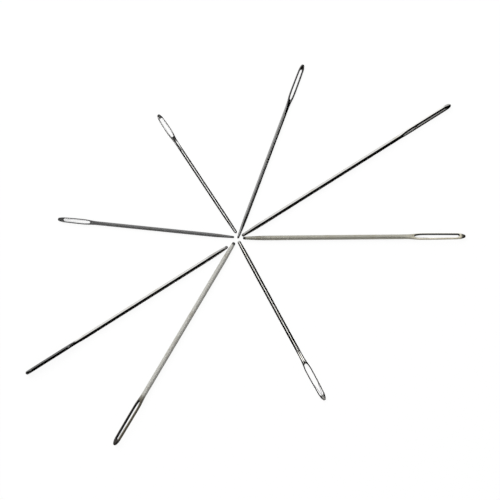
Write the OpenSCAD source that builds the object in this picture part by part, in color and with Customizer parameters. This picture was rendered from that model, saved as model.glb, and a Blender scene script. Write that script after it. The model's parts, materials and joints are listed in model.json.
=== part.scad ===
// A set of eight blunt yarn needles, laid out as a star with the tips together and the eyes outward.
// Each needle is one length of steel wire: a rounded tip, a round shaft, and an eye end that is pressed
// flat, slotted, and grooved on both faces so that the yarn lies in the groove.
// Millimetres, +Z up. The needles lie on the plane z = 0, the origin under the middle of the star's box.

/* [Eye and point, alike on every needle] */
// Thickness over the pressed cheeks, for each millimetre of wire
pressed_share = 0.66; // [0.6:0.01:0.8]
// Length over which the cheeks run out on the shaft
cheek_l = 6; // [3:0.1:7]
// Length over which the wire starts to widen, up to the slot
shoulder_l = 2.4; // [1.5:0.1:3]
// Length over which the eye goes on widening, beside the slot
widening_l = 2.4; // [1.5:0.1:3]
// Radius of the slot's round end by the shaft, for each millimetre of half its width
slot_start_share = 0.7; // [0.5:0.01:0.9]
// Radius of the slot's round end by the crown, for each millimetre of half its width
slot_end_share = 0.85; // [0.8:0.01:0.9]
// Radius that rounds the end of the crown
crown_end_r = 0.5; // [0.35:0.01:0.52]
// Length of the point, from the end of the tip to the full wire
point_l = 8; // [6:0.5:10]
// Radius across the thread groove
groove_r = 0.34; // [0.3:0.01:0.4]
// Depth of the thread groove below the cheek, at the slot
groove_depth = 0.14; // [0.1:0.01:0.24]
// Length of the thread groove on the shaft
groove_l = 1.4; // [1.2:0.1:4]
// Free space between a tip and the needle that it lies beside
tip_gap = 0.1; // [0.05:0.05:1]

/* [Needle at 1 o'clock] */
// Length over all
length_1 = 54; // [50:0.1:60]
// Diameter of the wire
wire_1 = 1.15; // [1.05:0.01:1.3]
// Length of the slot
slot_1 = 9.2; // [8:0.1:12]
// Width over the eye
eye_1 = 1.7; // [1.6:0.01:2]
// Thickness of the side walls of the eye
wall_1 = 0.36; // [0.26:0.01:0.4]
// Radius of the pressed cheeks across the eye
cheek_1 = 3; // [2:0.5:10]
// Solid crown beyond the slot
crown_1 = 1.7; // [1.4:0.1:2]
// Radius of the tip's rounded end
tip_1 = 0.3; // [0.25:0.01:0.4]
// Turn about its own length
roll_angle_1 = 25; // [0:1:90]
// Direction of the eye end, anticlockwise from +X
heading_angle_1 = 69.38; // [65:0.01:72]
// Sideways step of the needle from the star's centre
side_1 = 0.49; // [0:0.01:0.6]
// Distance of the tip from the star's centre
reach_1 = -0.19; // [-0.3:0.01:0.5]

/* [Needle at 2 o'clock, its tip beside the one at 1 o'clock] */
// Length over all
length_2 = 71.6; // [66:0.1:76]
// Diameter of the wire
wire_2 = 1.36; // [1.2:0.01:1.5]
// Length of the slot
slot_2 = 14.6; // [12:0.1:16]
// Width over the eye
eye_2 = 2; // [2:0.01:2.4]
// Thickness of the side walls of the eye
wall_2 = 0.7; // [0.3:0.01:0.7]
// Radius of the pressed cheeks across the eye
cheek_2 = 2; // [2:0.5:10]
// Solid crown beyond the slot
crown_2 = 1.7; // [1.4:0.1:2]
// Radius of the tip's rounded end
tip_2 = 0.45; // [0.3:0.01:0.6]
// Turn about its own length
roll_angle_2 = 53; // [0:1:90]
// Direction of the eye end, anticlockwise from +X
heading_angle_2 = 32.15; // [30:0.01:36]
// Sideways step of the needle from the star's centre
side_2 = 0.27; // [0:0.01:0.4]

/* [Needle at 3 o'clock] */
// Length over all
length_3 = 64.7; // [60:0.1:70]
// Diameter of the wire
wire_3 = 1.36; // [1.2:0.01:1.5]
// Length of the slot
slot_3 = 13; // [12:0.1:16]
// Width over the eye
eye_3 = 2; // [2:0.01:2.4]
// Thickness of the side walls of the eye
wall_3 = 0.3; // [0.3:0.01:0.7]
// Radius of the pressed cheeks across the eye
cheek_3 = 3; // [2:0.5:10]
// Solid crown beyond the slot
crown_3 = 1.8; // [1.4:0.1:2]
// Radius of the tip's rounded end
tip_3 = 0.4; // [0.3:0.01:0.6]
// Turn about its own length
roll_angle_3 = -33; // [-90:1:90]
// Direction of the eye end, anticlockwise from +X
heading_angle_3 = 0.5; // [-5:0.01:4]
// Sideways step of the needle from the star's centre
side_3 = 0.08; // [-0.2:0.01:0.2]
// Distance of the tip from the star's centre
reach_3 = 0.95; // [0.9:0.01:2]

/* [Needle at 5 o'clock] */
// Length over all
length_5 = 52.7; // [50:0.1:60]
// Diameter of the wire
wire_5 = 1.28; // [1.1:0.01:1.3]
// Length of the slot
slot_5 = 10.3; // [8:0.1:12]
// Width over the eye
eye_5 = 2.04; // [1.7:0.01:2.2]
// Thickness of the side walls of the eye
wall_5 = 0.34; // [0.26:0.01:0.4]
// Radius of the pressed cheeks across the eye
cheek_5 = 2; // [2:0.5:10]
// Solid crown beyond the slot
crown_5 = 1.7; // [1.4:0.1:2]
// Radius of the tip's rounded end
tip_5 = 0.5; // [0.3:0.01:0.52]
// Turn about its own length
roll_angle_5 = 0; // [0:1:90]
// Direction of the eye end, anticlockwise from +X
heading_angle_5 = 298.5; // [290:0.01:305]
// Sideways step of the needle from the star's centre
side_5 = -0.64; // [-0.8:0.01:0]
// Distance of the tip from the star's centre
reach_5 = 0.42; // [0.3:0.01:2]

/* [Needle at 7 o'clock] */
// Length over all
length_7 = 68.5; // [64:0.1:74]
// Diameter of the wire
wire_7 = 1.4; // [1.2:0.01:1.6]
// Length of the slot
slot_7 = 13.1; // [12:0.1:16]
// Width over the eye
eye_7 = 2.1; // [2:0.01:2.4]
// Thickness of the side walls of the eye
wall_7 = 0.4; // [0.3:0.01:0.7]
// Radius of the pressed cheeks across the eye
cheek_7 = 4; // [2:0.5:10]
// Solid crown beyond the slot
crown_7 = 1.8; // [1.4:0.1:2]
// Radius of the tip's rounded end
tip_7 = 0.5; // [0.3:0.01:0.6]
// Turn about its own length
roll_angle_7 = 46; // [-90:1:90]
// Direction of the eye end, anticlockwise from +X
heading_angle_7 = 239.28; // [236:0.01:244]
// Sideways step of the needle from the star's centre
side_7 = -0.71; // [-0.9:0.01:0]
// Distance of the tip from the star's centre
reach_7 = 1.73; // [1.6:0.01:3]

/* [Needle at 8 o'clock, its tip beside the one at 7 o'clock] */
// Length over all
length_8 = 69.3; // [66:0.1:76]
// Diameter of the wire
wire_8 = 1.36; // [1.2:0.01:1.5]
// Length of the slot
slot_8 = 13.6; // [12:0.1:16]
// Width over the eye
eye_8 = 2.1; // [2:0.01:2.4]
// Thickness of the side walls of the eye
wall_8 = 0.7; // [0.3:0.01:0.7]
// Radius of the pressed cheeks across the eye
cheek_8 = 8; // [2:0.5:10]
// Solid crown beyond the slot
crown_8 = 1.7; // [1.4:0.1:2]
// Radius of the tip's rounded end
tip_8 = 0.45; // [0.3:0.01:0.6]
// Turn about its own length
roll_angle_8 = 78; // [0:1:90]
// Direction of the eye end, anticlockwise from +X
heading_angle_8 = 212.2; // [208:0.01:214]
// Sideways step of the needle from the star's centre
side_8 = 0.16; // [0:0.01:0.5]

/* [Needle at 9 o'clock] */
// Length over all
length_9 = 51.5; // [48:0.1:58]
// Diameter of the wire
wire_9 = 1.11; // [1:0.01:1.2]
// Length of the slot
slot_9 = 7.7; // [7:0.1:10]
// Width over the eye
eye_9 = 1.6; // [1.44:0.01:1.8]
// Thickness of the side walls of the eye
wall_9 = 0.32; // [0.26:0.01:0.36]
// Radius of the pressed cheeks across the eye
cheek_9 = 3; // [2:0.5:10]
// Solid crown beyond the slot
crown_9 = 1.7; // [1.4:0.1:2]
// Radius of the tip's rounded end
tip_9 = 0.3; // [0.25:0.01:0.4]
// Turn about its own length
roll_angle_9 = 8; // [0:1:90]
// Direction of the eye end, anticlockwise from +X
heading_angle_9 = 174.17; // [168:0.01:180]
// Sideways step of the needle from the star's centre
side_9 = -0.21; // [-0.3:0.01:0.3]
// Distance of the tip from the star's centre
reach_9 = 1.58; // [1.4:0.01:3]

/* [Needle at 11 o'clock] */
// Length over all
length_11 = 41.3; // [38:0.1:48]
// Diameter of the wire
wire_11 = 1.1; // [1:0.01:1.2]
// Length of the slot
slot_11 = 6.4; // [6:0.1:9]
// Width over the eye
eye_11 = 1.74; // [1.5:0.01:1.9]
// Thickness of the side walls of the eye
wall_11 = 0.3; // [0.26:0.01:0.4]
// Radius of the pressed cheeks across the eye
cheek_11 = 2; // [2:0.5:10]
// Solid crown beyond the slot
crown_11 = 1.4; // [1.3:0.1:2]
// Radius of the tip's rounded end
tip_11 = 0.45; // [0.3:0.01:0.48]
// Turn about its own length
roll_angle_11 = 5; // [0:1:90]
// Direction of the eye end, anticlockwise from +X
heading_angle_11 = 123.5; // [118:0.01:130]
// Sideways step of the needle from the star's centre
side_11 = -0.08; // [-0.4:0.01:0.2]
// Distance of the tip from the star's centre
reach_11 = 1.8; // [1.6:0.01:3]

/* [Hidden] */
$fn = 96;
// Straight steps that draw a short arc and a long one
short_arc = 6;
long_arc = 8;

// One needle's own sizes, in this order everywhere
function sizes(length, wire, slot, eye, wall, cheek, crown, tip) =
    [length, wire / 2, slot, eye / 2, wall, cheek, crown, tip];
function length(n) = n[0];
function wire_r(n) = n[1];
function slot_l(n) = n[2];
function eye_r(n) = n[3];
function wall(n) = n[4];
function cheek_r(n) = n[5];
function crown_l(n) = n[6];
function tip_r(n) = n[7];

// Places along a needle, from the tip
function slot_out(n) = length(n) - crown_l(n);
function slot_in(n) = slot_out(n) - slot_l(n);
function slot_r(n) = eye_r(n) - wall(n);
function widest(n) = slot_in(n) + widening_l;
function cheek_z(n) = pressed_share * wire_r(n);

// Points on an arc about c, from one angle to another
function arc(c, r, from, to, steps) =
    [for (i = [0 : steps]) let (a = from + (to - from) * i / steps) c + r * [cos(a), sin(a)]];

// Half an egg: a side arc from its widest place, half-width w, that runs into a round end of radius e
function egg_side_r(w, l, e) = ((l - e) * (l - e) + w * w - e * e) / (2 * (w - e));
function egg_turn(w, l, e) = asin((l - e) / (egg_side_r(w, l, e) - e));
function egg(w, l, e) =
    let (r = egg_side_r(w, l, e), turn = egg_turn(w, l, e))
    concat(arc([0, w - r], r, 90, 90 - turn, long_arc), arc([l - e, 0], e, 90 - turn, 0, short_arc));

// The slot from its widest place to its end by the crown, and the eye's side arc, which keeps the wall even
function slot_end_r(n) = slot_end_share * slot_r(n);
function slot_taper_l(n) = slot_l(n) - widening_l;
function eye_turn(n) = egg_turn(slot_r(n), slot_taper_l(n), slot_end_r(n));
function eye_side_r(n) = egg_side_r(slot_r(n), slot_taper_l(n), slot_end_r(n)) + wall(n);

// The outline of the whole needle, [along, radius], in five stretches from the tip to the crown
function point_line(n) =
    [for (p = egg(wire_r(n), point_l, tip_r(n))) [point_l - p[0], p[1]]];
function shoulder_line(n) =
    let (run = (shoulder_l + widening_l) / 2, rise = (eye_r(n) - wire_r(n)) / 2,
         r = (run * run + rise * rise) / (2 * rise), turn = asin(run / r))
    concat(arc([slot_in(n) - shoulder_l, wire_r(n) + r], r, -90, -90 + turn, short_arc),
           arc([widest(n), eye_r(n) - r], r, 90 + turn, 90, short_arc));
function eye_line(n) =
    arc([widest(n), eye_r(n) - eye_side_r(n)], eye_side_r(n), 90, 90 - eye_turn(n), long_arc);
function crown_line(n) =
    let (from = eye_line(n)[long_arc], turn = eye_turn(n), l = length(n) - crown_end_r - from[0],
         r = (from[1] * from[1] + l * l - crown_end_r * crown_end_r)
             / (2 * (from[1] * cos(turn) - l * sin(turn) - crown_end_r)),
         c = from - r * [sin(turn), cos(turn)], end = atan2(-c[1], l + from[0] - c[0]))
    concat(arc(c, r, 90 - turn, end, long_arc),
           arc([length(n) - crown_end_r, 0], crown_end_r, end, 0, short_arc));

// A form turned about X, from its outline
module turned(line) rotate([0, 90, 0]) rotate_extrude() polygon([for (p = line) [p[1], p[0]]]);

// The round blank that the dies close on
module blank(n)
    turned(concat([for (i = [len(point_line(n)) - 1 : -1 : 0]) point_line(n)[i]],
                  shoulder_line(n), eye_line(n), crown_line(n)));

// Room between the dies on one face: full height over the shaft, then down to the cheek
module cheek_room(n) {
    rise = 1.2 * wire_r(n) - cheek_z(n);
    ramp_r = (cheek_l * cheek_l + rise * rise) / (2 * rise);
    turn = asin(cheek_l / ramp_r);
    translate([0, 0, cheek_z(n) - cheek_r(n)])
        turned(concat([[-point_l, 0], [-point_l, cheek_r(n) + rise]],
                      arc([slot_in(n), cheek_r(n) + ramp_r], ramp_r, -90 - turn, -90, long_arc),
                      [[length(n) + point_l, cheek_r(n)], [length(n) + point_l, 0]]));
}

// The punched slot: half an egg each way from its widest place
module slot(n) {
    start = egg(slot_r(n), widening_l, slot_start_share * slot_r(n));
    end = egg(slot_r(n), slot_taper_l(n), slot_end_r(n));
    half = concat([for (i = [len(start) - 1 : -1 : 0]) [-start[i][0], start[i][1]]], end);
    translate([widest(n), 0, 0])
        linear_extrude(4 * wire_r(n), center = true)
            polygon(concat(half, [for (i = [len(half) - 2 : -1 : 1]) [half[i][0], -half[i][1]]]));
}

// A groove pressed in the upper face, deepest at x = from and running out after l
module groove(from, bottom, top, l) {
    rise = top - bottom;
    wheel_r = (l * l + rise * rise) / (2 * rise);
    translate([from, 0, bottom + wheel_r])
        rotate([90, 0, 0]) rotate_extrude() translate([wheel_r - groove_r, 0]) circle(groove_r);
}

// One needle along +X, its tip at the origin and its slot open along Z
module yarn_needle(n) {
    bottom = cheek_z(n) - groove_depth;
    difference() {
        intersection() {
            blank(n);
            cheek_room(n);
            mirror([0, 0, 1]) cheek_room(n);
        }
        slot(n);
        for (face = [0, 1])
            mirror([0, 0, face]) {
                groove(slot_in(n), bottom, wire_r(n), groove_l);
                groove(slot_out(n), bottom, cheek_z(n), crown_l(n));
            }
    }
}

// How a needle lies: its roll, its heading, its axis's sideways step and its tip's distance from the centre
function lie(roll, heading, side, reach) = [roll, heading, side, reach];
function roll(p) = p[0];
function heading(p) = p[1];
function side(p) = p[2];
function reach(p) = p[3];
function ahead(p) = [cos(heading(p)), sin(heading(p))];
function left(p) = [-sin(heading(p)), cos(heading(p))];

// Where along its heading a tip clears the side of the needle that it lies beside
function reach_beside(n, turned_to, step, other, o) =
    let (between = turned_to - heading(o), clear = wire_r(other) + tip_r(n) + tip_gap)
    (sign(sin(between)) * clear - step * cos(between) + side(o)) / sin(between) - tip_r(n);

// How far the rolled eye reaches below its axis
function eye_drop(n, p) =
    let (w = eye_r(n), c = cheek_r(n), k = c - cheek_z(n), z = (c * c - w * w - k * k) / (2 * k),
         y = sqrt(w * w - z * z), turn = abs(roll(p)))
    turn < atan(y / (z + k)) ? c - k * cos(turn)
    : turn > atan(y / z) ? w
    : y * sin(turn) + z * cos(turn);

// A needle whose eye reaches lower than its wire rests on both the eye and the point
function rise(n, p) = max(0, atan((eye_drop(n, p) - wire_r(n)) / (widest(n) - point_l)));

// The tip's place before the star is centred, and the far end of the crown
function tip_at(p) = reach(p) * ahead(p) + side(p) * left(p);
function crown_at(n, p) = tip_at(p) + (length(n) - crown_end_r) * cos(rise(n, p)) * ahead(p);

size_1 = sizes(length_1, wire_1, slot_1, eye_1, wall_1, cheek_1, crown_1, tip_1);
size_2 = sizes(length_2, wire_2, slot_2, eye_2, wall_2, cheek_2, crown_2, tip_2);
size_3 = sizes(length_3, wire_3, slot_3, eye_3, wall_3, cheek_3, crown_3, tip_3);
size_5 = sizes(length_5, wire_5, slot_5, eye_5, wall_5, cheek_5, crown_5, tip_5);
size_7 = sizes(length_7, wire_7, slot_7, eye_7, wall_7, cheek_7, crown_7, tip_7);
size_8 = sizes(length_8, wire_8, slot_8, eye_8, wall_8, cheek_8, crown_8, tip_8);
size_9 = sizes(length_9, wire_9, slot_9, eye_9, wall_9, cheek_9, crown_9, tip_9);
size_11 = sizes(length_11, wire_11, slot_11, eye_11, wall_11, cheek_11, crown_11, tip_11);

lie_1 = lie(roll_angle_1, heading_angle_1, side_1, reach_1);
lie_2 = lie(roll_angle_2, heading_angle_2, side_2,
            reach_beside(size_2, heading_angle_2, side_2, size_1, lie_1));
lie_3 = lie(roll_angle_3, heading_angle_3, side_3, reach_3);
lie_5 = lie(roll_angle_5, heading_angle_5, side_5, reach_5);
lie_7 = lie(roll_angle_7, heading_angle_7, side_7, reach_7);
lie_8 = lie(roll_angle_8, heading_angle_8, side_8,
            reach_beside(size_8, heading_angle_8, side_8, size_7, lie_7));
lie_9 = lie(roll_angle_9, heading_angle_9, side_9, reach_9);
lie_11 = lie(roll_angle_11, heading_angle_11, side_11, reach_11);

// The star is moved so that the middle of its box is over the origin
crowns = [crown_at(size_1, lie_1), crown_at(size_2, lie_2), crown_at(size_3, lie_3),
          crown_at(size_5, lie_5), crown_at(size_7, lie_7), crown_at(size_8, lie_8),
          crown_at(size_9, lie_9), crown_at(size_11, lie_11)];
star_middle = [for (i = [0, 1]) (max([for (c = crowns) c[i]]) + min([for (c = crowns) c[i]])) / 2];

// A needle laid on the plane z = 0
module laid(n, p) {
    tip = tip_at(p) - star_middle;
    axis_z = wire_r(n) * cos(rise(n, p)) - point_l * sin(rise(n, p));
    translate([tip[0], tip[1], axis_z])
        rotate([0, -rise(n, p), heading(p)]) rotate([roll(p), 0, 0]) yarn_needle(n);
}

module needle_1_oclock() color([0.68, 0.68, 0.67]) laid(size_1, lie_1);
module needle_2_oclock() color([0.80, 0.79, 0.79]) laid(size_2, lie_2);
module needle_3_oclock() color([0.62, 0.62, 0.58]) laid(size_3, lie_3);
module needle_5_oclock() color([0.85, 0.85, 0.84]) laid(size_5, lie_5);
module needle_7_oclock() color([0.66, 0.66, 0.62]) laid(size_7, lie_7);
module needle_8_oclock() color([0.78, 0.77, 0.77]) laid(size_8, lie_8);
module needle_9_oclock() color([0.60, 0.60, 0.60]) laid(size_9, lie_9);
module needle_11_oclock() color([0.84, 0.84, 0.84]) laid(size_11, lie_11);

needle_1_oclock();
needle_2_oclock();
needle_3_oclock();
needle_5_oclock();
needle_7_oclock();
needle_8_oclock();
needle_9_oclock();
needle_11_oclock();
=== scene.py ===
# %% [markdown]
# # Eight blunt yarn needles
#
# A set of steel yarn needles lies on a white table as a star, the tips together and the eyes outward.
# Each needle is one piece of wire, and each one is a separate body that can be picked up. This lesson
# takes the needles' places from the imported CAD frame, makes a finer mesh for each, and then works on
# what such needles are really about: how polished wire mirrors the room.

import json
from math import asin, atan2, cos, hypot, pi, radians, sin, sqrt

import bmesh
import bpy
from mathutils import Matrix, Vector


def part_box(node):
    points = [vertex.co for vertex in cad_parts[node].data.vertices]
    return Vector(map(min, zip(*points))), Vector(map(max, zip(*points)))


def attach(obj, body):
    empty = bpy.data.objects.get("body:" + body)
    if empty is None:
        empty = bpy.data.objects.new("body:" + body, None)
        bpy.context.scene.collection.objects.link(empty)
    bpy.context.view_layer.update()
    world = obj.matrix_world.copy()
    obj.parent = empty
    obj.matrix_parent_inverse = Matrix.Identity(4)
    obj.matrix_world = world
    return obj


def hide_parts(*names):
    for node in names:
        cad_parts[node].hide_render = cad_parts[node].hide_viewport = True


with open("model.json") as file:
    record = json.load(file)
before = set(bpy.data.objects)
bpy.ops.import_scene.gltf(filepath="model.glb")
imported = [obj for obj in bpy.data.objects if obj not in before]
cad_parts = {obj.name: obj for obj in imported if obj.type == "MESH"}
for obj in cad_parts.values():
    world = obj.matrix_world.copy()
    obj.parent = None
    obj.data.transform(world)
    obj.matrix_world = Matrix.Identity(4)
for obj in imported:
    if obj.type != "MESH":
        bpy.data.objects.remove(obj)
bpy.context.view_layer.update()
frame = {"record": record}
MM = 0.001

# %% [markdown]
# ## Where each needle lies
#
# The frame records a round mount along every shaft and a mount in every eye. The first gives the wire's
# radius, a point on its axis and the direction toward the tip, and the second gives the way that the
# slot opens. Together they are a full coordinate frame for the needle: X runs from the tip to the crown,
# Z is the slot's opening direction, and Y is the width across the eye. Reading them is better than
# typing angles again, because a needle can't end up in another place than its CAD solid.

# %% A coordinate frame for each needle
POINT_L = 8.0  # the point, from the end of the tip to the full wire, in millimetres
mounts = {m["name"]: m for m in frame["record"]["mounts"]}
clocks = [name.split("_")[1] for name in mounts if name.startswith("shaft_")]


def needle_frame(clock):
    """The matrix that takes a needle's own millimetres to its place, in metres."""
    shaft, eye = mounts[f"shaft_{clock}_oclock"], mounts[f"eye_{clock}_oclock"]
    to_tip = Vector(shaft["axis"]).normalized()
    tip = Vector(shaft["pos_m"]) + to_tip * (shaft["dims"]["length_mm"] / 2 + POINT_L) * MM
    x = -to_tip
    z = Vector(eye["axis"])
    z = (z - x * z.dot(x)).normalized()
    y = z.cross(x)
    turn = Matrix((x, y, z)).transposed().to_4x4()
    return Matrix.Translation(tip) @ turn @ Matrix.Scale(MM, 4)


places = {clock: needle_frame(clock) for clock in clocks}
wire_r = {clock: mounts[f"shaft_{clock}_oclock"]["dims"]["r_mm"] for clock in clocks}
for clock in clocks:
    tip_at = [round(v / MM, 2) for v in places[clock].translation]
    print(clock, "o'clock: wire", 2 * wire_r[clock], "mm, tip at", tip_at)

# %% [markdown]
# ## The sizes
#
# These repeat the named sizes of the CAD source, in millimetres. The first block is alike on every
# needle. The table then gives what differs: the needle's length, the slot's length, the width of the
# eye, the wall beside the slot, the radius across a cheek, the solid crown beyond the slot, and the
# radius that rounds the tip.

# %% Sizes
PRESSED_SHARE = 0.66  # thickness of the pressed eye, as a share of the wire's
CHEEK_L = 6.0  # how far the cheeks run out on the shaft
RAMP_SHARE = 1.2  # height of that ramp at its end, as a share of the wire's radius
SHOULDER_L = 2.4
WIDENING_L = 2.4  # from the slot's start to its widest place
SLOT_START_SHARE = 0.7  # radius of the slot's round ends, as a share of half its width
SLOT_END_SHARE = 0.85
CROWN_END_R = 0.5
GROOVE_R = 0.34
GROOVE_DEPTH = 0.14
GROOVE_L = 1.4
RIM_R = 0.10  # the tumbled edge round the slot, which only this finer mesh has
TINY = 1e-6  # less than any length or angle that matters

SIZES = {  # length, slot, eye, wall, cheek, crown, tip
    "1": (54.0, 9.2, 1.7, 0.36, 3.0, 1.7, 0.3),
    "2": (71.6, 14.6, 2.0, 0.7, 2.0, 1.7, 0.45),
    "3": (64.7, 13.0, 2.0, 0.3, 3.0, 1.8, 0.4),
    "5": (52.7, 10.3, 2.04, 0.34, 2.0, 1.7, 0.5),
    "7": (68.5, 13.1, 2.1, 0.4, 4.0, 1.8, 0.5),
    "8": (69.3, 13.6, 2.1, 0.7, 8.0, 1.7, 0.45),
    "9": (51.5, 7.7, 1.6, 0.32, 3.0, 1.7, 0.3),
    "11": (41.3, 6.4, 1.74, 0.3, 2.0, 1.4, 0.45),
}
print("Longest needle, mm:", max(row[0] for row in SIZES.values()))

# %% [markdown]
# ## The outline
#
# A needle starts as a turned blank: its outline is a chain of arcs that meet without a corner. The round
# tip runs into a long slow taper, the shaft is straight, the shoulder swells in an S to the eye, and the
# eye draws in again to the rounded crown. Both the blank and the slot end in the same figure, half an
# egg: one long side arc that runs into a small round nose. So one class holds an egg, and gives its
# half-width and the distance of a point from it.


# %% Half an egg
class Egg:
    """Half-width `wide` at p = 0, with a side arc to a nose of radius `nose` that ends at p = `long`."""

    def __init__(self, wide, long, nose):
        self.wide, self.long, self.nose = wide, long, nose
        self.side = ((long - nose) ** 2 + wide**2 - nose**2) / (2 * (wide - nose))
        self.turn = asin((long - nose) / (self.side - nose))
        self.meets = long - nose + nose * sin(self.turn)

    def half_width(self, p):
        if p < self.meets:
            return self.wide - self.side + sqrt(self.side**2 - p**2)
        return sqrt(max(0.0, self.nose**2 - (p - self.long + self.nose) ** 2))

    def distance(self, p, y):
        """How far (p, y) lies outside the egg's edge."""
        across = y - (self.wide - self.side)
        if atan2(p, across) < self.turn:
            return hypot(p, across) - self.side
        return hypot(p - self.long + self.nose, y) - self.nose


# %% [markdown]
# The slot is two such halves with their wide ends together, a short one toward the tip and a long one
# toward the crown. The outline needs five more arcs: two for the shoulder, one that follows the slot at
# the wall's thickness, one for the crown and a small one that rounds its end. The crown's arc leaves the
# eye's arc without a corner, so its radius follows from the place and the slope where they meet.


# %% One needle's forms
class Needle:
    """All the curves of one needle, as functions of the distance x from its tip."""

    def __init__(self, clock):
        self.length, self.slot_l, eye, wall, self.cheek, self.crown_l, tip = SIZES[clock]
        self.wire, self.eye = wire_r[clock], eye / 2
        self.slot_out = self.length - self.crown_l
        self.slot_in = self.slot_out - self.slot_l
        self.slot_r = self.eye - wall
        self.widest = self.slot_in + WIDENING_L
        self.cheek_z = PRESSED_SHARE * self.wire
        self.point = Egg(self.wire, POINT_L, tip)
        self.near = Egg(self.slot_r, WIDENING_L, SLOT_START_SHARE * self.slot_r)
        self.slot = Egg(self.slot_r, self.slot_l - WIDENING_L, SLOT_END_SHARE * self.slot_r)
        self.shoulder_x = self.slot_in - SHOULDER_L
        run, climb = (SHOULDER_L + WIDENING_L) / 2, (self.eye - self.wire) / 2
        self.shoulder_mid = self.shoulder_x + run
        self.shoulder_r = (run**2 + climb**2) / (2 * climb)
        self.eye_side = self.slot.side + wall
        slope = self.slot.turn
        self.eye_end = self.widest + self.eye_side * sin(slope)
        high, along = self.radius(self.eye_end - TINY), self.length - CROWN_END_R - self.eye_end
        self.crown_r = (high**2 + along**2 - CROWN_END_R**2) / (
            2 * (high * cos(slope) - along * sin(slope) - CROWN_END_R)
        )
        self.crown_c = (self.eye_end - self.crown_r * sin(slope), high - self.crown_r * cos(slope))
        nose = self.length - CROWN_END_R
        self.nose_from = nose + CROWN_END_R * cos(atan2(-self.crown_c[1], nose - self.crown_c[0]))

    def radius(self, x):
        """The turned blank's radius."""
        if x < POINT_L:
            return self.point.half_width(POINT_L - x)
        if x <= self.shoulder_x:
            return self.wire
        if x <= self.shoulder_mid:
            r = self.shoulder_r
            return self.wire + r - sqrt(r**2 - (x - self.shoulder_x) ** 2)
        if x <= self.widest:
            r = self.shoulder_r
            return self.eye - r + sqrt(r**2 - (self.widest - x) ** 2)
        if x <= self.eye_end:
            return self.eye - self.eye_side + sqrt(self.eye_side**2 - (x - self.widest) ** 2)
        if x <= self.nose_from:
            return self.crown_c[1] + sqrt(self.crown_r**2 - (x - self.crown_c[0]) ** 2)
        return sqrt(max(0.0, CROWN_END_R**2 - (x - self.length + CROWN_END_R) ** 2))

    def slot_half(self, x):
        """Half the slot's width, 0 outside it."""
        if x <= self.slot_in or x >= self.slot_out:
            return 0.0
        if x < self.widest:
            return self.near.half_width(self.widest - x)
        return self.slot.half_width(x - self.widest)

    def slot_distance(self, x, y):
        """How far (x, y) lies outside the slot's edge."""
        if x < self.widest:
            return self.near.distance(self.widest - x, y)
        return self.slot.distance(x - self.widest, y)


print("Straightest eye side, radius in mm:", round(max(Needle(c).eye_side for c in clocks), 1))

# %% [markdown]
# ## What the dies do
#
# The eye end is pressed between two dies. They flatten it to two gently crowned cheeks that run out on
# the shaft, and they press a groove in front of the slot and behind it, so that the doubled yarn lies
# below the surface. Each of these is a surface above the plan, and the metal's height at any place is
# the lowest of them. Tumbling then rounds the slot's edge, which is a quarter circle that depends on the
# distance from the slot.

# %% Height of the metal
NO_GROOVE = 1e9  # a height above all metal


def groove_height(x, y, at, bottom, top, long):
    """The groove's surface, a ring section that is deepest at x = at and runs out after `long`."""
    if abs(y) >= GROOVE_R:
        return NO_GROOVE
    wheel = (long**2 + (top - bottom) ** 2) / (2 * (top - bottom))
    reach = wheel - GROOVE_R + sqrt(GROOVE_R**2 - y**2)
    if abs(x - at) >= reach:
        return NO_GROOVE
    return bottom + wheel - sqrt(reach**2 - (x - at) ** 2)


def height(n, x, y):
    """Half the metal's thickness at (x, y)."""
    round_z = sqrt(max(0.0, n.radius(x) ** 2 - y**2))
    if x < n.slot_in - CHEEK_L:
        return round_z
    climb = RAMP_SHARE * n.wire - n.cheek_z
    ramp = (CHEEK_L**2 + climb**2) / (2 * climb)
    barrel = n.cheek + ramp - sqrt(ramp**2 - min(0.0, x - n.slot_in) ** 2)
    cheek = n.cheek_z - n.cheek + sqrt(barrel**2 - y**2)
    bottom = n.cheek_z - GROOVE_DEPTH
    z = min(
        round_z,
        cheek,
        groove_height(x, y, n.slot_in, bottom, n.wire, GROOVE_L),
        groove_height(x, y, n.slot_out, bottom, n.cheek_z, n.crown_l),
    )
    gap = n.slot_distance(x, y)
    if gap < RIM_R:
        z -= RIM_R - sqrt(max(0.0, RIM_R**2 - (RIM_R - max(0.0, gap)) ** 2))
    return z


print("Thickness of the pressed eyes, mm:", {c: round(2 * Needle(c).cheek_z, 2) for c in clocks})

# %% [markdown]
# ## Stations along the needle
#
# The mesh has one ring of vertices at each station. They stand close where the form changes quickly,
# which is at the tip, over the groove, round both ends of the slot and over the crown, and far apart on
# the straight shaft. Each stretch below ends with its number of steps.

# %% Stations
SLOT_END_STEPS = 20
RIM_STEPS = 4


def spread(start, end, steps):
    return [start + (end - start) * i / steps for i in range(steps + 1)]


def round_end(centre, r, start, end, steps):
    """Stations on a circle's arc, even by angle, with the angles in degrees."""
    return [centre + r * cos(radians(a)) for a in spread(start, end, steps)]


def stations(n):
    start, end = n.near.nose, n.slot.nose
    return sorted(
        {
            round(x, 5)
            for x in (
                *round_end(n.point.nose, n.point.nose, 180, 90, 10),
                *spread(n.point.nose, POINT_L, 16),
                *spread(POINT_L, n.slot_in - CHEEK_L, 12),
                *spread(n.slot_in - CHEEK_L, n.slot_in - RIM_R, 44),
                *round_end(n.slot_in, RIM_R, 180, 90, RIM_STEPS),
                *round_end(n.slot_in + start, start, 180, 90, SLOT_END_STEPS),
                *spread(n.slot_in + start, n.widest, 12),
                *spread(n.widest, n.slot_out - end, 24),
                *round_end(n.slot_out - end, end, 90, 0, SLOT_END_STEPS),
                *round_end(n.slot_out, RIM_R, 90, 0, RIM_STEPS),
                *spread(n.slot_out + RIM_R, n.nose_from, 16),
                *round_end(n.length - CROWN_END_R, CROWN_END_R, 80, 0, 14),
            )
        }
    )


print("Stations on the longest needle:", len(stations(Needle("2"))))

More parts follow.
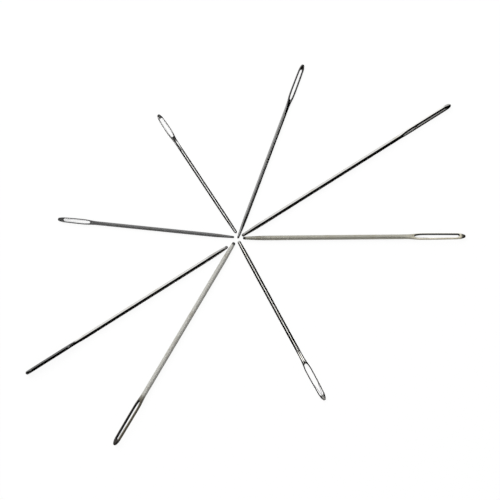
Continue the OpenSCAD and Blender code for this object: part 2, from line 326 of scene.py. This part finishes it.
# %% [markdown]
# ## One needle from a spin
#
# The real blank is turned, pressed and punched, and the mesh follows the same steps. A few vertices give
# the outline, and spinning it through half a turn makes one side of the blank. Then every vertex is
# pressed: beside the slot it steps outward so that the open edge follows the slot, and its height comes
# from the dies. What is still open along the slot is bridged, and a mirrored copy makes the other side.
# A boolean cut would also give a slot, but it leaves long thin faces just where a polished needle shows
# every fault.
#
# This mesh has one known fault, which the CAD solids don't have. Rounding leaves most vertices of the
# spin's last column a hair below y = 0. There the turn comes out as minus half a turn, so the press puts
# them on the upper face and not on the lower one. The last strip of faces then rises through the metal to
# the upper middle line, and beside the slot it stands where the wall should be. It leaves a slit of about
# 0.1 mm along the underside, and a few open edges.

# %% Spin, press, bridge and mirror
HALF_TURN = 48  # faces round one side
SAME = 1e-5  # points nearer than this are one


def press(n, v, x):
    """Moves a vertex of the spun blank to its place on the pressed needle."""
    turn = atan2(v.co.y, v.co.z)  # 0 on the upper face, a quarter turn on the middle plane
    r, slot = n.radius(x), n.slot_half(x)
    y = slot + (r - slot) * sin(turn)
    z = height(n, x, y) if abs(turn - pi / 2) > TINY else 0.0
    v.co.y, v.co.z = y, z if turn < pi / 2 else -z


def open_edge(bm, n, side):
    """The edges that are still open along the slot, on the upper or the lower face."""
    return [
        e
        for e in bm.edges
        if e.is_boundary
        and all(side * v.co.z > 0 for v in e.verts)
        and all(n.slot_in - SAME < v.co.x < n.slot_out + SAME for v in e.verts)
    ]


def needle_mesh(n):
    bm = bmesh.new()
    outline = [bm.verts.new((x, 0, n.radius(x))) for x in stations(n)]
    edges = [bm.edges.new(pair) for pair in zip(outline, outline[1:])]
    blank = {"geom": outline + edges, "cent": (0, 0, 0), "axis": (1, 0, 0), "angle": -pi}
    bmesh.ops.spin(bm, **blank, steps=HALF_TURN, use_duplicate=False)
    for v in bm.verts:
        press(n, v, v.co.x)
    bmesh.ops.remove_doubles(bm, verts=bm.verts, dist=SAME)
    bmesh.ops.bridge_loops(bm, edges=open_edge(bm, n, 1) + open_edge(bm, n, -1))
    bmesh.ops.mirror(bm, geom=bm.verts[:] + bm.edges[:] + bm.faces[:], axis="Y", merge_dist=SAME)
    bmesh.ops.remove_doubles(bm, verts=bm.verts, dist=SAME)
    bmesh.ops.recalc_face_normals(bm, faces=bm.faces)
    for f in bm.faces:
        f.smooth = True
    return bm


trial = needle_mesh(Needle("2"))
holes = sum(e.is_boundary for e in trial.edges)
volume = round(trial.calc_volume(), 2)
print("Longest needle:", len(trial.faces), "faces,", holes, "open edges,", volume, "mm3")
trial.free()

# %% [markdown]
# ## The punched wall and its painted shade
#
# The slot's wall is sheared by the punch and stays dull when the rest is polished, and it is painted
# near black as painted shade, because it faces the dark inside of the slot. To find that wall in a shader
# would take the slot's whole formula again, so an attribute marks its vertices, and the beginning of the
# tumbled edge beside them. Two needles of the set lie turned on their axis so that one long side of the
# eye is in its own shade. There the painted shade reaches over the whole edge.

# %% Which vertices get the painted shade of the slot's wall
WALL_SHADE_R = 0.03  # how far the painted shade reaches over the tumbled edge
SHADED_R = 0.14  # the same on the shaded side
SHADED_SIDE = {"3": 1, "7": -1}


# The slot's wall, and a little of its edge, get painted shade; on the shaded side it reaches further.
def on_dull_shaded_wall(n, clock, co):
    reach = SHADED_R if SHADED_SIDE.get(clock, 0) * co.y > 0 else WALL_SHADE_R
    return n.slot_in - reach < co.x < n.slot_out + reach and n.slot_distance(co.x, abs(co.y)) < reach


print("Needles with a shaded side:", ", ".join(SHADED_SIDE))

# %% [markdown]
# ## Eight pieces
#
# The mesh is moved into place and not the object, which stays at the origin, so that a pattern on its
# coordinates stays put. Before the move, each vertex keeps its place on the needle as an attribute. A
# finish reads it, so that draw marks run along every wire, whichever way the needle lies.

# %% Pieces
OWN = "place_on_needle"
# An attribute that marks where the slot's wall gets its painted shade.
DULL_AND_SHADED_WALL = "punched_wall"


def needle_piece(clock):
    n = Needle(clock)
    bm = needle_mesh(n)
    mesh = bpy.data.meshes.new(f"yarn_needle_{clock}_oclock")
    bm.to_mesh(mesh)
    bm.free()
    own = mesh.attributes.new(OWN, "FLOAT_VECTOR", "POINT")
    own.data.foreach_set("vector", [c for v in mesh.vertices for c in v.co])
    # The mark for the painted shade of the slot's wall.
    wall_shade = mesh.attributes.new(DULL_AND_SHADED_WALL, "FLOAT", "POINT")
    wall_shade.data.foreach_set("value", [float(on_dull_shaded_wall(n, clock, v.co)) for v in mesh.vertices])
    mesh.transform(places[clock])
    piece = bpy.data.objects.new(mesh.name, mesh)
    bpy.context.scene.collection.objects.link(piece)
    node = f"needle_{clock}_oclock"
    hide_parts(node)
    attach(piece, node)
    return piece


pieces = {clock: needle_piece(clock) for clock in clocks}
for clock, piece in pieces.items():
    low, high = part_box(f"needle_{clock}_oclock")
    co = [v.co for v in piece.data.vertices]
    off = max(abs(f(c[i] for c in co) - edge[i]) for f, edge in ((min, low), (max, high)) for i in range(3))
    print(piece.name, "box within", round(off / MM, 4), "mm of its CAD solid")

# %% [markdown]
# ## Shader maths as expressions
#
# A finish is easier to read as a formula than as a web of links. This class wraps one output of one
# node, and the operators on it add the Math nodes. Its `node` method adds any other node, and two
# helpers stand for the nodes that are used most: a smooth step and a mix of two colours.


# %% A small class for sockets
class Wire:
    """An output socket that can be used in a formula."""

    def __init__(self, tree, socket):
        self.tree, self.socket = tree, socket

    @classmethod
    def node(cls, tree, kind, settings=None, out=0, **inputs):
        """Adds a node, sets it up, and joins or sets its inputs, by name or by number as "0" and so on."""
        node = tree.nodes.new(kind)
        for name, value in (settings or {}).items():
            setattr(node, name, value)
        for name, value in inputs.items():
            socket = node.inputs[int(name)] if name.isdigit() else node.inputs[name.replace("_", " ")]
            if isinstance(value, Wire):
                tree.links.new(value.socket, socket)
            else:
                socket.default_value = value
        return cls(tree, node.outputs[out])

    def maths(self, operation, a, b=0.0):
        return self.node(self.tree, "ShaderNodeMath", {"operation": operation}, 0, **{"0": a, "1": b})

    def __add__(self, other):
        return self.maths("ADD", self, other)

    def __sub__(self, other):
        return self.maths("SUBTRACT", self, other)

    def __rsub__(self, other):
        return self.maths("SUBTRACT", other, self)

    def __mul__(self, other):
        return self.maths("MULTIPLY", self, other)

    __radd__ = __add__
    __rmul__ = __mul__

    def smooth(self, start, end, low=0.0, high=1.0):
        """Goes smoothly from low to high as the value goes from start to end."""
        return self.node(
            self.tree, "ShaderNodeMapRange", {"interpolation_type": "SMOOTHSTEP"}, 0,
            Value=self, From_Min=start, From_Max=end, To_Min=low, To_Max=high,
        )

    def mix(self, a, b, blend="MIX"):
        """Colour a where the value is 0, and where it is 1 colour b, or its product with a."""
        settings = {"data_type": "RGBA", "blend_type": blend}
        return self.node(self.tree, "ShaderNodeMix", settings, 2, **{"0": self, "6": a, "7": b})


def empty_tree(owner):
    """The node tree of a material or of the world, with nothing in it yet."""
    owner.use_nodes = True
    owner.node_tree.nodes.clear()
    return owner.node_tree


def set_output(tree, kind, shader):
    tree.links.new(shader.socket, tree.nodes.new(kind).inputs["Surface"])


# %% [markdown]
# ## The finish, with painted light and shade
#
# Needle wire is drawn, pressed, tumbled and nickel plated. From near it isn't a perfect mirror: fine
# draw marks run along it, and the plating is a little warm and uneven. Painted shade darkens the tint on
# the end of the tip, on the long point, at the throat just in front of the slot, on the eye and on the
# crown, where the round wire mirrors the dark of the room, and on two eyes a painted highlight lightens
# it. Each needle's tint is also lighter or darker as painted light and shade for the way that it lies to
# the light, so each one has its own row. It ends with the share of the tint that is left at each of those
# places, where 1 is as bright as the shaft and more is brighter.

# %% A finish for each needle, with its painted light and shade
# Near black: painted shade on the slot's dull wall, which faces the dark inside of the slot.
DULL_WALL_AND_SHADE_TINT = (0.03, 0.03, 0.03)
FINISH_WITH_PAINTED_LIGHT = {  # tint, roughness, metallic, and the share that painted light and shade leave at the tip, point, throat, eye and crown
    "1": ((0.32, 0.32, 0.315), 0.06, 1.0, 0.3, 0.8, 1.0, (0.5, 0.5, 0.5), (0.5, 0.5, 0.5)),
    "2": ((0.70, 0.69, 0.67), 0.05, 1.0, 0.4, 0.7, 1.0, (1.25, 1.25, 1.25), (0.6, 0.6, 0.6)),
    "3": ((0.34, 0.33, 0.28), 0.30, 0.5, 0.1, 0.8, 0.8, (1.7, 1.65, 1.55), (0.10, 0.10, 0.09)),
    "5": ((0.57, 0.565, 0.54), 0.04, 1.0, 1.0, 1.0, 1.0, (0.8, 0.8, 0.8), (0.7, 0.7, 0.7)),
    "7": ((0.46, 0.455, 0.42), 0.45, 0.4, 0.1, 1.0, 0.7, (0.28, 0.25, 0.19), (0.06, 0.05, 0.045)),
    "8": ((0.70, 0.69, 0.67), 0.05, 1.0, 0.4, 0.7, 0.1, (0.12, 0.12, 0.12), (0.12, 0.12, 0.12)),
    "9": ((0.13, 0.13, 0.13), 0.24, 0.5, 0.3, 1.0, 1.0, (0.6, 0.6, 0.6), (0.4, 0.4, 0.4)),
    "11": ((0.55, 0.55, 0.54), 0.04, 1.0, 1.0, 1.0, 0.12, (1.0, 1.0, 1.0), (0.3, 0.3, 0.3)),
}
print("Brightest tint:", max(row[0] for row in FINISH_WITH_PAINTED_LIGHT.values()))

# %% [markdown]
# Each band of painted light and shade has a place where it starts and one where it is full, and it
# fades in between them. The bands multiply the tint one after another, so the throat's painted shade is
# undone where the eye begins, and the crown's share is divided by the eye's.

# %% Where the painted light and shade are
# Painted shade on the tip, the point, the throat and the crown, and painted light and shade on the eye.
TIP_SHADE = (1.0, 0.6)  # start and full, in millimetres from the tip
POINT_SHADE = (POINT_L, 0.7 * POINT_L)
THROAT_SHADE = (-2.2, -1.2)  # the same from the slot's start
THROAT_SHADE_UNDONE = (0.0, 0.6)
EYE_LIGHT_AND_SHADE = (-3.0, 1.0)
CROWN_SHADE = (-0.7, 0.2)  # the same from the slot's end
CLEAR_SLOT_CROWN_SHADE = {"3": (0.3, 1.0)}  # a painted crown shade that stays clear of the slot


def painted_light_and_shade(clock):
    """For each band of painted light and shade, where it starts, where it is full, and the share of the tint
    that it leaves.
    """
    n = Needle(clock)
    tip, point, throat, eye, crown = FINISH_WITH_PAINTED_LIGHT[clock][3:]
    crown_at = CLEAR_SLOT_CROWN_SHADE.get(clock, CROWN_SHADE)
    rows = (
        (0.0, TIP_SHADE, (tip,) * 3),
        (0.0, POINT_SHADE, (point,) * 3),
        (n.slot_in, THROAT_SHADE, (throat,) * 3),
        (n.slot_in, THROAT_SHADE_UNDONE, (1 / throat,) * 3),
        (n.slot_in, EYE_LIGHT_AND_SHADE, eye),
        (n.slot_out, crown_at, tuple(c / e for c, e in zip(crown, eye))),
    )
    return [(origin + start, origin + full, share) for origin, (start, full), share in rows]


print("Painted light and shade on the longest needle:", [(round(start, 1), round(full, 1)) for start, full, _ in painted_light_and_shade("2")])

# %% [markdown]
# Two noise patterns do the rest. One is stretched along the wire and gives the draw marks, which are
# both a slight bump and a change of roughness. The other is large and soft, and dulls the plating in
# patches.

# %% Plated steel with painted light and shade
MARKS_STRETCH = (0.25, 9.0, 9.0)
MARKS_DEPTH = 0.00001
MARKS_STRENGTH = 0.07
PATCHY = (0.5, 0.75)  # range of the soft noise over which the plating turns dull
DULL_SHARE = (0.80, 0.76, 0.68)  # what is left of the tint there
DULL_MOST = 0.6
ROUGH_ALL = 0.6  # share of a needle's roughness that is everywhere
ROUGH_MARKS = 0.8  # what the draw marks add at the most
ROUGH_PATCHES = 0.5  # what the dull patches add at the most


def plated_steel_and_painted_light(clock):
    tint, rough, metallic = FINISH_WITH_PAINTED_LIGHT[clock][:3]
    material = bpy.data.materials.new(f"plated_steel_and_painted_light_{clock}_oclock")
    tree = empty_tree(material)
    own = Wire.node(tree, "ShaderNodeAttribute", {"attribute_name": OWN}, "Vector")
    along = Wire.node(tree, "ShaderNodeMapping", {"vector_type": "POINT"}, 0, Vector=own, Scale=MARKS_STRETCH)
    marks = Wire.node(tree, "ShaderNodeTexNoise", None, 0, Vector=along, Scale=3.0, Detail=4.0, Roughness=0.6)
    soft = Wire.node(tree, "ShaderNodeTexNoise", None, 0, Vector=own, Scale=0.35, Detail=3.0)
    patches = soft.smooth(*PATCHY)
    dull = tuple(c * share for c, share in zip(tint, DULL_SHARE))
    colour = (patches * DULL_MOST).mix((*tint, 1), (*dull, 1))
    x = Wire.node(tree, "ShaderNodeSeparateXYZ", None, "X", Vector=own)
    # Painted shade along the tip, point, throat, eye and crown, and a painted highlight where a share is
    # above 1.
    for start, full, share in painted_light_and_shade(clock):
        colour = x.smooth(start, full).mix(colour, (*share, 1), "MULTIPLY")
    # The slot's wall and the start of its edge take the near black painted shade.
    wall_shade = Wire.node(tree, "ShaderNodeAttribute", {"attribute_name": DULL_AND_SHADED_WALL}, "Fac")
    colour = wall_shade.mix(colour, (*DULL_WALL_AND_SHADE_TINT, 1))
    roughness = rough * (ROUGH_ALL + ROUGH_MARKS * marks + ROUGH_PATCHES * patches)
    bump = Wire.node(
        tree, "ShaderNodeBump", None, 0, Strength=MARKS_STRENGTH, Distance=MARKS_DEPTH, Height=marks
    )
    shader = Wire.node(
        tree, "ShaderNodeBsdfPrincipled", None, 0,
        Base_Color=colour, Metallic=metallic, Roughness=roughness, Normal=bump,
    )
    set_output(tree, "ShaderNodeOutputMaterial", shader)
    return material


for clock, piece in pieces.items():
    piece.data.materials.append(plated_steel_and_painted_light(clock))
print("Finishes:", len(pieces))

# %% [markdown]
# ## The table
#
# The table is plain white. For the camera most of its light comes from an emission of strength 1, which
# is white, and the rest is real reflected light, so that the needles keep a faint shadow. The needles
# don't mirror it, because the room below them already has all that they should show.

# %% Table
SHADOW_SHARE = 0.08
TABLE_HALF = 1.5
TABLE_Z = -0.01 * MM
PAPER_WHITE = (0.95, 0.95, 0.95, 1)
bm = bmesh.new()
bmesh.ops.create_grid(bm, x_segments=1, y_segments=1, size=TABLE_HALF)
bmesh.ops.translate(bm, verts=bm.verts, vec=(0, 0, TABLE_Z))
mesh = bpy.data.meshes.new("table")
bm.to_mesh(mesh)
bm.free()
table = bpy.data.objects.new("table", mesh)
bpy.context.scene.collection.objects.link(table)
paper = bpy.data.materials.new("white_table")
tree = empty_tree(paper)
camera_ray = Wire.node(tree, "ShaderNodeLightPath", None, "Is Camera Ray")
through_ray = Wire.node(tree, "ShaderNodeLightPath", None, "Is Transmission Ray")
seen = camera_ray.maths("MAXIMUM", camera_ray, through_ray)
lit = Wire.node(tree, "ShaderNodeBsdfDiffuse", None, 0, Color=PAPER_WHITE)
white = Wire.node(tree, "ShaderNodeEmission", None, 0, Strength=1.0)
share = seen * (1 - SHADOW_SHARE)
surface = Wire.node(tree, "ShaderNodeMixShader", None, 0, **{"0": share, "1": lit, "2": white})
set_output(tree, "ShaderNodeOutputMaterial", surface)
table.data.materials.append(paper)
table.visible_glossy = False
print("Table, m across:", 2 * TABLE_HALF)

# %% [markdown]
# ## The room that the wire mirrors
#
# A polished cylinder on its side squeezes the whole room into its width, so its look is the room's. Here
# one white screen rises from the upper left and leans over the table, and nearly all else is dark. A
# wire that lies across the light shows one white and one black half, and a wire that points at it shows
# a light middle between two dark lines. The room is a formula on the mirrored direction, whose parts
# are how far it points to the front, where the screen is, to the side and up.

# %% Directions in the room
SCREEN_AZIMUTH = 120.0
world = bpy.data.worlds.new("studio")
bpy.context.scene.world = world
tree = empty_tree(world)
direction = Wire.node(tree, "ShaderNodeTexCoord", None, "Generated")
screen_at = radians(SCREEN_AZIMUTH)


def component(axis):
    """How far the mirrored direction points along an axis, from -1 to 1."""
    vectors = {"0": direction, "1": axis}
    return Wire.node(tree, "ShaderNodeVectorMath", {"operation": "DOT_PRODUCT"}, "Value", **vectors)


front = component((cos(screen_at), sin(screen_at), 0))
side = component((sin(screen_at), -cos(screen_at), 0))
up = component((0, 0, 1))
aside = side.maths("ABSOLUTE", side)
ahead = front.maths("MAXIMUM", front)  # like front, but 0 behind the top
print("Screen at azimuth", SCREEN_AZIMUTH, "degrees")

# %% [markdown]
# The screen is a wedge, wider at its front than overhead, and its strip straight overhead is brighter,
# because the wires that point at the screen mirror only that. The camera and its stand hide the very
# middle of the strip, as a dark column. A band at the horizon is dimmer, so that bright wire still
# stands out from the white table when it is seen from the side.

# %% Screen
RIDGE = (0.22, 0.33)  # half the screen's width overhead, from full light to none
WEDGE = 1.2  # how fast it widens toward its front
REAR_EDGE = (-0.25, -0.12)
COLUMN = (0.11, 0.15)  # half the dark column's width, from none of the light to all
COLUMN_WEDGE = 0.5
COLUMN_UP = (0.85, 0.93)  # where it begins and is full, toward the top
BAND_BELOW = (-0.3, -0.15)
BAND_ABOVE = (-0.05, 0.05)
BAND_DIM = 0.7
SCREEN_LIGHT = 1.1
STRIP_LIGHT = 2.45
STRIP_EDGE = (0.05, 0.2)

width = (aside - ahead * WEDGE).smooth(*RIDGE, 1.0, 0.0)
beside_column = (aside - ahead * COLUMN_WEDGE).smooth(*COLUMN)
column = 1.0 - up.smooth(*COLUMN_UP) * (1.0 - beside_column)
band = up.smooth(*BAND_BELOW) * up.smooth(*BAND_ABOVE, 1.0, 0.0)
light = SCREEN_LIGHT + STRIP_LIGHT * front.smooth(*STRIP_EDGE, 1.0, 0.0)
screen = width * front.smooth(*REAR_EDGE) * (1.0 - BAND_DIM * band) * column * light
print("Screen's light:", SCREEN_LIGHT, "and overhead", round(SCREEN_LIGHT + STRIP_LIGHT, 2))

# %% [markdown]
# A weak fill lies round the screen's middle, and one lit patch near the ground on the other side keeps
# the lower sides of the grey needles from going black. All of this is only for what the metal mirrors.
# The table and the needles' own dull share get plain even light, and the camera sees white.

# %% The rest of the room
FILL_LIGHT = 0.05
FILL_EDGE = (0.5, 0.9)
PATCH_AZIMUTH = 266.0
PATCH_LIGHT = 0.9
PATCH_EDGE = (0.86, 0.96)
DARK_LIGHT = 0.004
EVEN_LIGHT = 0.6
patch_at = radians(PATCH_AZIMUTH)
patch = component((cos(patch_at), sin(patch_at), 0)).smooth(*PATCH_EDGE)
mirrored_light = screen + FILL_LIGHT * front.smooth(*FILL_EDGE) + PATCH_LIGHT * patch + DARK_LIGHT
camera_ray = Wire.node(tree, "ShaderNodeLightPath", None, "Is Camera Ray")
even_light = EVEN_LIGHT + (1 - EVEN_LIGHT) * camera_ray
mirrored = Wire.node(tree, "ShaderNodeBackground", None, 0, Color=(1, 1, 1, 1), Strength=mirrored_light)
plain = Wire.node(tree, "ShaderNodeBackground", None, 0, Color=(1, 1, 1, 1), Strength=even_light)
glossy_ray = Wire.node(tree, "ShaderNodeLightPath", None, "Is Glossy Ray")
room = Wire.node(tree, "ShaderNodeMixShader", None, 0, **{"0": glossy_ray, "1": plain, "2": mirrored})
set_output(tree, "ShaderNodeOutputWorld", room)
print("Nodes in the room:", len(tree.nodes))

# %% [markdown]
# ## Lamp
#
# One wide softbox on the screen's side gives the needles their faint soft shadow on the table.

# %% Softbox
LAMP_SIDE = 0.8
LAMP_POWER = 12.3
LAMP_REACH = 0.85
lamp = bpy.data.lights.new("softbox", "AREA")
lamp.shape = "SQUARE"
lamp.size = LAMP_SIDE
lamp.energy = LAMP_POWER
box = bpy.data.objects.new("softbox", lamp)
bpy.context.scene.collection.objects.link(box)
box.location = Vector((cos(screen_at), sin(screen_at), 1.0)) * LAMP_REACH
box.rotation_mode = "QUATERNION"
box.rotation_quaternion = box.location.to_track_quat("Z", "Y")
box.visible_glossy = False
print("Softbox, m from the star:", round(box.location.length, 2))

# %% [markdown]
# ## Camera
#
# The photo is taken straight from above. Its 500 pixels are 145 mm of the table, and the middle of the
# picture is a little right of the star's middle and above it.

# %% Camera and colour
PIXELS = 500
PIXELS_PER_MM = 3.4424
CENTRE_X, CENTRE_Y, CENTRE_Z = 1.28 * MM, 1.40 * MM, 0.6 * MM
picture = PIXELS / PIXELS_PER_MM * MM
camera = bpy.data.cameras.new("camera")
camera.lens = 200
camera.sensor_width = 36
viewpoint = bpy.data.objects.new("camera", camera)
bpy.context.scene.collection.objects.link(viewpoint)
viewpoint.location = (CENTRE_X, CENTRE_Y, picture * camera.lens / camera.sensor_width + CENTRE_Z)
camera.clip_start, camera.clip_end = 0.01, 10
bpy.context.scene.camera = viewpoint
bpy.context.scene.view_settings.view_transform = "Standard"
print("Picture, mm across:", round(picture / MM, 1))
